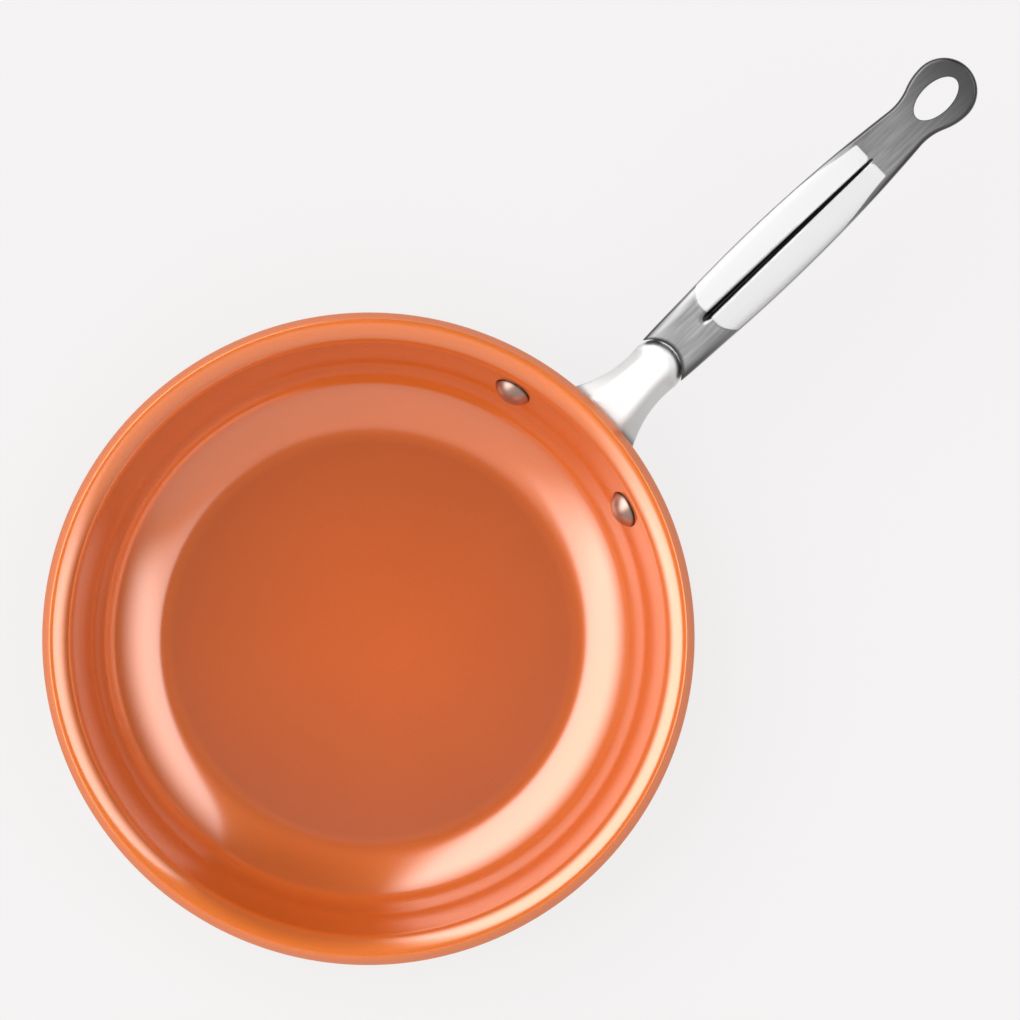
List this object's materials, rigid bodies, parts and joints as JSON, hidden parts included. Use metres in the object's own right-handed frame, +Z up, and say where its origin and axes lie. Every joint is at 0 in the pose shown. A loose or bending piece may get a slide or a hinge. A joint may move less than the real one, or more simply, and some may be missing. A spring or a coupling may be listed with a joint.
{
  "type": "frying pan",
  "caption": "Round frying pan with a flat floor, sloping wall and out-turned rim, perforated base disc, and a long riveted hollow handle with a groove and a hanging eye.",
  "frame": {"origin": "middle of the base disc's underside, on the pan's axis", "axes": "+Z up out of the pan, +X along the handle from the pan to the hanging eye"},
  "size_m": [0.4425, 0.254, 0.0844],
  "materials": {
    "copper_coat": "satin",
    "disc_steel": "satin",
    "cast_steel": "polished",
    "grip_steel": "satin",
    "rivet_steel": "polished"
  },
  "bodies": {
    "root": {"pan_shell": "copper_coat", "induction_plate": "disc_steel", "handle_bracket": "cast_steel", "handle_grip": "grip_steel", "rivet_left": "rivet_steel", "rivet_right": "rivet_steel"}
  },
  "joints": []
}
